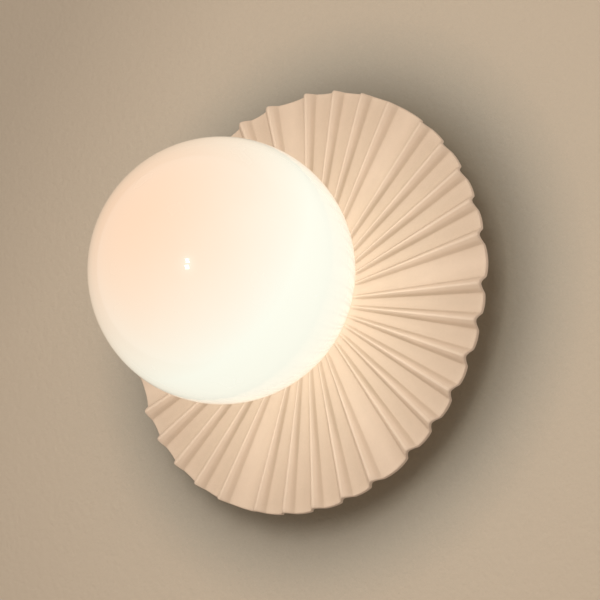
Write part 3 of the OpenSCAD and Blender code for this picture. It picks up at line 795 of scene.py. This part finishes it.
def flute_fall(angle, width, depth):
    """Depth of a flute at the rim, by the angle from its ridge: a steep flank, then an arch."""
    t = held((angle - CREST_HALF) / (RIDGE_FOOT - CREST_HALF))
    arch = max(0.0, (angle - ARCH_START) / (width / 2 - ARCH_START))
    bend = 2 * FLANK_BEND * (1 - FLANK_BEND)
    if t < FLANK_BEND:
        steep = t * t / bend
    elif t > 1 - FLANK_BEND:
        steep = 1 - (1 - t) ** 2 / bend
    else:
        steep = (t - FLANK_BEND / 2) / (1 - FLANK_BEND)
    return FLANK * steep + (depth - FLANK) * arch * (2 - arch)


def rim_softness(r):
    return max(0.0, 1 - (SHELL_R - r) / RIM_SOFT) ** 2


def flute_share(r, depth):
    """Share of the full depth at a radius: it starts at the flat middle and eases at the rim."""
    rise = held((r - HUB_R) / HUB_BLEND)
    return r / SHELL_R * rise - rim_softness(r) * RIM_DROP / depth


def ridge_depth(r):
    """Depth of the ridges from the wall: the disc is slightly dished."""
    return HUB_FRONT + DISH * max(0.0, (r - HUB_R) / (SHELL_R - HUB_R)) - rim_softness(r) * RIM_DROP


def flute(name, width, depth):
    """One flute as a thin sheet, from the tube's hole to the rim and from ridge to ridge."""
    radii = [ring * MM for ring in SHELL_RINGS]
    near = [a for a in FLANK_STEPS if a < width / 2]
    angles = near + [width / 2] + [width - a for a in reversed(near)]
    rings = len(radii)
    bpy.ops.mesh.primitive_grid_add(x_subdivisions=rings - 1, y_subdivisions=len(angles) - 1,
                                    size=2)
    obj = added(name)
    for i, r in enumerate(radii):
        pick(obj, lambda v: v.index % rings == i)
        move(r - (2 * i / (rings - 1) - 1), 0, flute_share(r, depth))
    for j, angle in enumerate(angles):
        pick(obj, lambda v: v.index // rings == j)
        stretch(1, 0, -flute_fall(min(angle, width - angle), width, depth))
        swing(math.radians(angle))
    for i, r in enumerate(radii):
        pick(obj, lambda v: v.index % rings == i)
        move(0, 0, ridge_depth(r))
    bpy.ops.object.mode_set(mode="OBJECT")
    return obj


def shell_disc():
    narrow = flute("narrow flute", NARROW_ANGLE, NARROW_FLUTE)
    wide = flute("wide flute", WIDE_ANGLE, WIDE_FLUTE)
    round_the_disc = []
    angle = FIRST_WIDE_AT - WIDE_ANGLE / 2
    for count in NARROW_AFTER_WIDE:
        for master, width in [(wide, WIDE_ANGLE)] + [(narrow, NARROW_ANGLE)] * count:
            round_the_disc.append(spun(twin(master, "flute"), math.radians(angle)))
            angle += width
    for master in (narrow, wide):
        bpy.data.objects.remove(master)
    obj = joined("shell_disc", round_the_disc)
    bpy.ops.object.mode_set(mode="EDIT")
    bpy.ops.mesh.select_mode(type="VERT")
    pick_all()
    bpy.ops.mesh.remove_doubles(threshold=20 * SAME_PLACE)
    pull(0, 0, -SHELL_WALL)
    pick_all()
    bpy.ops.mesh.normals_make_consistent(inside=False)
    rim = SHELL_R - 0.02 * MM

    def on_rim(edge):
        ends = [v.co.xy.length > rim for v in edge.verts]
        return all(ends) and edge.calc_face_angle(0) > math.radians(45)

    pick(obj, on_rim, "EDGE")
    bpy.ops.mesh.bevel(offset=RIM_ROUNDING, segments=3, affect="EDGES")
    done(obj, 40)
    return stands_for(faced(obj), "fixture", "shell_coat", "fluted_shell")


# The opal globe

GLOBE_SEGMENTS, GLOBE_RINGS = 144, 96
GLASS_WALL = 2.5 * MM
NECK_R = 25 * MM
NECK_BORE_R = 22 * MM
NECK_FILLET = 1.6 * MM
NECK_FILLET_STEPS = 5
# The fillet is a little shorter than it is wide
NECK_FILLET_LENGTH = 0.6
NECK_EDGE = 0.5 * MM
# Millimetres inwards and backwards
NECK_EDGE_STEPS = ((0.15, 0.35), (0.35, 0.15))
THREAD_PITCH = 4 * MM
THREAD_TURNS = 1.1
THREAD_START = 27.6 * MM
BEAD_HEIGHT = 1.2 * MM
BEAD_FOOT = 1.7 * MM
BEAD_CREST = 0.9 * MM
BEAD_INSET = 0.5 * MM


def opal_globe():
    """A sphere cut open at its back and drawn out into the threaded neck."""
    centre = -GLOBE_CENTRE.y
    bpy.ops.mesh.primitive_uv_sphere_add(segments=GLOBE_SEGMENTS, ring_count=GLOBE_RINGS,
                                         radius=GLOBE_R, location=(0, 0, centre))
    obj = added("opal_globe")
    bpy.ops.object.mode_set(mode="OBJECT")
    placed(obj)
    bpy.ops.object.mode_set(mode="EDIT")

    def verts():
        return bmesh.from_edit_mesh(obj.data).verts

    # The sphere is cut a little outside the neck, and the edge is drawn in to the neck
    cut_r = NECK_R + NECK_FILLET
    cut_at = centre - math.sqrt(GLOBE_R ** 2 - cut_r ** 2)
    pick_all()
    bpy.ops.mesh.bisect(plane_co=(0, 0, cut_at), plane_no=(0, 0, 1), clear_inner=True)
    for k in range(1, NECK_FILLET_STEPS + 1):
        pick(obj, lambda v: v.is_boundary)
        low = min(v.co.z for v in verts())
        before, after = (QUARTER_TURN * step / NECK_FILLET_STEPS for step in (k - 1, k))
        was = NECK_R + NECK_FILLET * (1 - math.sin(before))
        now = NECK_R + NECK_FILLET * (1 - math.sin(after))
        fall = NECK_FILLET * (math.cos(before) - math.cos(after)) * NECK_FILLET_LENGTH
        pull(0, 0, -fall)
        stretch(now / was, now / was, 1, (0, 0, low))
    low = min(v.co.z for v in verts())
    pull(0, 0, GLOBE_BACK + NECK_EDGE - low)
    for inwards, backwards in NECK_EDGE_STEPS:
        r = max(v.co.xy.length for v in verts() if v.select)
        pull(0, 0, -backwards * MM)
        stretch((r - inwards * MM) / r, (r - inwards * MM) / r, 1)
    pick_all()
    bpy.ops.mesh.remove_doubles(threshold=SAME_PLACE)
    bpy.ops.mesh.normals_make_consistent(inside=False)
    bpy.ops.object.mode_set(mode="OBJECT")
    with_modifier(obj, "SOLIDIFY", thickness=GLASS_WALL, offset=-1, use_even_offset=True)
    bead = thread("bead", NECK_BORE_R + BEAD_INSET, NECK_BORE_R - BEAD_HEIGHT, BEAD_FOOT,
                  BEAD_CREST, THREAD_PITCH, THREAD_TURNS, THREAD_START)
    obj = joined("opal_globe", [obj, bead])
    done(obj, 40)
    return stands_for(faced(obj), "globe", "opal_glass", "glass_globe")


# Pieces that keep their node's shape, with their hard edges rounded

# Millimetres that each hard edge of a node is rounded by
EDGE_WIDTHS = {
    "wall_bracket": 0.25, "earth_screw": 0.2, "earth_clamp": 0.2, "terminal_block": 0.45,
    "terminal_barrels": 0.2, "terminal_screws": 0.15, "terminal_fixing_screw": 0.2,
    "canopy": 0.3, "canopy_screws": 0.25, "shell_spacer": 0.4, "lock_washer": 0.12,
    "earth_ring_tag": 0.12, "tube_bush": 0.15, "glass_holder": 0.3, "lampholder_stirrup": 0.2,
    "lampholder_body": 0.4, "lampholder_contacts": 0.1, "lampholder_screws": 0.2,
    "bulb_base": 0.35, "bulb_cover": 0.3, "bulb_board": 0.15, "bulb_leds": 0.12,
}
# Their edges lie too close together for the full rounding everywhere
CLOSE_EDGED = ("terminal_block", "terminal_barrels", "canopy", "earth_ring_tag",
               "lampholder_body", "bulb_base")
FLAT_WITHIN = math.radians(0.6)
SQUARE_EDGE = math.radians(80)
BRACKET_PLATE = 2 * MM
ARM_CORNER = 2.2 * MM
EAR_CORNER = 3 * MM


def round_corners(obj):
    """Rounds the corners of the pressed bracket's arms and of its ears."""
    ear_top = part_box("wall_bracket")[0].y + SAME_PLACE

    def runs_along(edge, axis):
        step = edge.verts[1].co - edge.verts[0].co
        return (abs(step[axis]) > 0.99 * step.length
                and edge.calc_face_angle_signed(0) > SQUARE_EDGE)

    def in_plate(edge):
        return min(v.co.y for v in edge.verts) > -BRACKET_PLATE

    pick(obj, lambda e: runs_along(e, 1) and in_plate(e), "EDGE")
    bpy.ops.mesh.bevel(offset=ARM_CORNER, segments=5, affect="EDGES")
    pick(obj, lambda e: runs_along(e, 0) and all(v.co.y < ear_top for v in e.verts), "EDGE")
    bpy.ops.mesh.bevel(offset=EAR_CORNER, segments=6, affect="EDGES")


def eased(node, width):
    """A CAD node's own shape with its hard edges rounded off."""
    obj = bpy.data.objects.new(node + "_eased", nodes[node].data.copy())
    bpy.context.scene.collection.objects.link(obj)
    alone(obj)
    bpy.ops.mesh.customdata_custom_splitnormals_clear()
    bpy.ops.object.mode_set(mode="EDIT")
    pick_all()
    bpy.ops.mesh.remove_doubles(threshold=SAME_PLACE)
    bpy.ops.mesh.dissolve_limited(angle_limit=FLAT_WITHIN)
    if node == "wall_bracket":
        round_corners(obj)
    bpy.ops.object.mode_set(mode="OBJECT")
    with_soft_edges(obj, width, use_clamp_overlap=node in CLOSE_EDGED)
    return done(obj, 40)


# Wires and their sleeve

WIRE_R = 0.9 * MM
EARTH_WIRE_R = 1.1 * MM
# Millimetres: out of its barrel, down to the tube, through it, and into the socket's well
LAMP_ROUTE = ((-6.2, 16.3, 7), (-6.2, 15, 7), (-5.6, 10, 6.4), (-3.4, 4, 5.6), (-1.35, 0.6, 8.3),
              (-1.05, 0, 11.9), (-1.05, 0, 16.9), (-1.05, 0, 26.3), (-1.05, 0, 31.3),
              (-2.7, 0, 34.8), (-3.5, 0, 37), (-3.5, 0, 41.2))
LAMP_WIRE_END = ((-6.2, 15.9, 7), (-6.2, 20, 7))
# Millimetres: out of the ring terminal, round, and back beside the earth screw
EARTH_ROUTE = ((-11.7, 0, 16.7), (-13.5, 0, 16.7), (-15.5, 0, 16.7), (-18, 0, 16.7),
               (-22, -0.4, 15.3), (-25, -1.4, 10.7), (-23, -2.6, 4.3), (-20.5, -3.1, 2.7),
               (-19.8, -3.1, 2.7))
EARTH_WIRE_END = ((-20.2, -3.1, 2.7), (-10.2, -3.1, 2.7))
# Millimetres across the radius of the bundle of strands
LAMP_BUNDLE_R = 0.75
EARTH_BUNDLE_R = 0.9
LAY_STEPS = 12


def drawn_along(name, points, radius):
    """A round wire on a smooth curve through the points."""
    bpy.ops.curve.primitive_bezier_curve_add()
    curve = bpy.context.object
    curve.name = curve.data.name = name
    path = curve.data.splines[0].bezier_points
    path.add(len(points) - len(path))
    for knot, point in zip(path, points):
        knot.co = Vector(point) * MM
        knot.handle_left_type = knot.handle_right_type = "AUTO"
    curve.data.bevel_depth, curve.data.bevel_resolution = radius, 4
    curve.data.resolution_u, curve.data.use_fill_caps = 8, True
    alone(curve)
    bpy.ops.object.convert(target="MESH")
    obj = bpy.context.object
    bpy.ops.object.mode_set(mode="EDIT")
    closed_up()
    return done(obj, 50)


def bare_end(name, start, finish, bundle_r):
    """The stripped end of a wire: six strands laid round a middle one."""
    start, finish = Vector(start), Vector(finish)
    run = (finish - start).normalized()
    one = run.orthogonal().normalized()
    other = run.cross(one)
    strand_r = bundle_r / 3 * MM
    stages = range(LAY_STEPS + 1)
    lay = [2 * bundle_r / 3 * (one * math.cos(a) + other * math.sin(a))
           for a in (FULL_TURN * k / LAY_STEPS for k in stages)]
    strands = [drawn_along(name, [start, start.lerp(finish, 0.5), finish], strand_r)]
    for first in range(0, LAY_STEPS, 2):
        points = [start.lerp(finish, k / LAY_STEPS) + lay[(first + k) % LAY_STEPS]
                  for k in stages]
        strands.append(drawn_along("strand", points, strand_r))
    return joined(name, strands)


def mirrored_across(points, side):
    """Points with their x on the given side, 1 or -1."""
    return [(side * x, y, z) for x, y, z in points]


def wire(node, slot, route, radius, end, bundle_r):
    cover = drawn_along(node + "_cover", route, radius)
    stands_for(faced(cover), "fixture", slot, node)
    strands = bare_end(node + "_bare_end", *end, bundle_r)
    stands_for(faced(strands), "fixture", "tinned_copper")


def wires():
    for node, slot, side in (("live_wire", "brown_insulation", 1),
                             ("neutral_wire", "blue_insulation", -1)):
        wire(node, slot, mirrored_across(LAMP_ROUTE, side), WIRE_R,
             mirrored_across(LAMP_WIRE_END, side), LAMP_BUNDLE_R)
    wire("earth_wire", "green_insulation", EARTH_ROUTE, EARTH_WIRE_R, EARTH_WIRE_END,
         EARTH_BUNDLE_R)


SLEEVE_R = 2.8 * MM
SLEEVE_BORE_R = 2.2 * MM
SLEEVE_WAIST = 0.12 * MM
SLEEVE_FLARE = 1.4 * MM
SLEEVE_ROUNDING = 0.1 * MM


def sleeve():
    """Braided sleeve, a little wider at its two cut ends."""
    rear, front = low_and_high("wire_sleeve")
    waist_r = SLEEVE_R - SLEEVE_WAIST
    mouth_r = SLEEVE_BORE_R + SLEEVE_WAIST
    profile = ((mouth_r, rear, 0), (SLEEVE_R, rear, SLEEVE_ROUNDING),
               (waist_r, rear + SLEEVE_FLARE, 0), (waist_r, front - SLEEVE_FLARE, 0),
               (SLEEVE_R, front, SLEEVE_ROUNDING), (mouth_r, front, 0),
               (SLEEVE_BORE_R, front - SLEEVE_FLARE, 0), (SLEEVE_BORE_R, rear + SLEEVE_FLARE, 0))
    obj = faced(turned("braided_sleeve", profile, 64))
    stands_for(obj, "fixture", "glass_sleeve", "wire_sleeve")


# Seal, tube and nuts

SEAL_R = 26 * MM
SEAL_BORE_R = 22 * MM
LIP_HEIGHT = 0.13 * MM
# Radii in millimetres, and whether a lip stands up there
LIP_LINE = ((22.9, False), (23.2, True), (23.6, True), (23.9, False), (24.7, False),
            (25.0, True), (25.4, True))


def seal():
    """Silicone ring with two sealing lips on each face."""
    back, front = low_and_high("glass_seal")
    low = LIP_HEIGHT
    face = [(r * MM, 0 if raised else low) for r, raised in LIP_LINE]
    profile = [(SEAL_BORE_R, back + 2.5 * low, 0), (SEAL_BORE_R + 1.5 * low, back + low, 0)]
    profile += [(r, back + off, 0) for r, off in face]
    profile += [(SEAL_R, back + 3 * low, 0), (SEAL_R, front - 3 * low, 0)]
    profile += [(r, front - off, 0) for r, off in reversed(face)]
    profile += [(SEAL_BORE_R + 1.5 * low, front - low, 0), (SEAL_BORE_R, front - 2.5 * low, 0)]
    obj = faced(turned("globe_seal", profile, 128))
    stands_for(obj, "seal_ring", "silicone", "glass_seal")


TUBE_R = 5 * MM
TUBE_BORE_R = 3.5 * MM
TUBE_CORE_R = 4.45 * MM
TUBE_CHAMFER = 0.35 * MM
TUBE_PITCH = 1 * MM
RIDGE_FOOT_W = 1.25 * MM
RIDGE_CREST_W = 0.16 * MM
# Turns without thread at each end
BARE_TURNS = 0.8


def tube():
    """Hollow tube with its fine thread from end to end."""
    rear, front = low_and_high("threaded_tube")
    chamfer, lead = TUBE_CHAMFER, TUBE_CHAMFER / 2
    profile = ((TUBE_BORE_R + lead, rear, 0), (TUBE_CORE_R - chamfer, rear, 0),
               (TUBE_CORE_R, rear + chamfer, 0), (TUBE_CORE_R, front - chamfer, 0),
               (TUBE_CORE_R - chamfer, front, 0), (TUBE_BORE_R + lead, front, 0),
               (TUBE_BORE_R, front - lead, 0), (TUBE_BORE_R, rear + lead, 0))
    core = turned("tube_with_thread", profile, 64)
    turns = (front - rear) / TUBE_PITCH - 2 * BARE_TURNS
    ridge = thread("thread", TUBE_CORE_R, TUBE_R, RIDGE_FOOT_W, RIDGE_CREST_W, TUBE_PITCH, turns,
                   rear + BARE_TURNS * TUBE_PITCH)
    obj = faced(joined("tube_with_thread", [core, ridge]))
    stands_for(obj, "fixture", "brass", "threaded_tube")


NUT_FLATS = 14 * MM
NUT_CORNER_R = NUT_FLATS / 2 / math.cos(math.pi / 6)
NUT_BORE_R = TUBE_R + 0.05 * MM
NUT_FACE_R = 0.485 * NUT_FLATS
NUT_CHAMFER = 1.05 * MM
NUT_LEAD = 0.4 * MM
NUT_EDGE = 0.12 * MM
TURNING_SPARE = 1 * MM


def nut(node):
    """Six-sided nut, its corners turned off at both faces."""
    back, front = low_and_high(node)
    bpy.ops.mesh.primitive_cylinder_add(vertices=6, radius=NUT_CORNER_R, depth=front - back,
                                        location=(0, 0, (front + back) / 2),
                                        rotation=(0, 0, math.pi / 6))
    obj = placed(bpy.context.object)
    obj.name = obj.data.name = node + "_chamfered"
    outside_r = NUT_CORNER_R + TURNING_SPARE
    profile = ((NUT_BORE_R + NUT_LEAD, back, 0), (NUT_FACE_R, back, 0),
               (outside_r, back + NUT_CHAMFER, 0), (outside_r, front - NUT_CHAMFER, 0),
               (NUT_FACE_R, front, 0), (NUT_BORE_R + NUT_LEAD, front, 0),
               (NUT_BORE_R, front - NUT_LEAD, 0), (NUT_BORE_R, back + NUT_LEAD, 0))
    cutter = turned("nut turning", profile, 64)
    with_modifier(obj, "BOOLEAN", operation="INTERSECT", object=cutter, solver="EXACT")
    bpy.data.objects.remove(cutter)
    with_soft_edges(obj, NUT_EDGE)
    stands_for(faced(done(obj, 30)), "fixture", "brass", node)


camera()
world()
wall()
lights(shell_disc(), opal_globe())

wires()
sleeve()
seal()
tube()
nut("rear_nut")
nut("front_nut")

record = frame["record"]
SLOT_OF = {part["node"]: part["material_slot"] for part in record["subparts"]}
BODY_OF = {node: body for body, members in record["behaviour"]["bodies"].items()
           for node in members}
for node, width in EDGE_WIDTHS.items():
    stands_for(eased(node, width * MM), BODY_OF[node], SLOT_OF[node], node)
for node, obj in nodes.items():
    if not obj.hide_render:
        finish_for(SLOT_OF[node]).on(obj)

bpy.context.scene.view_settings.view_transform = "Standard"
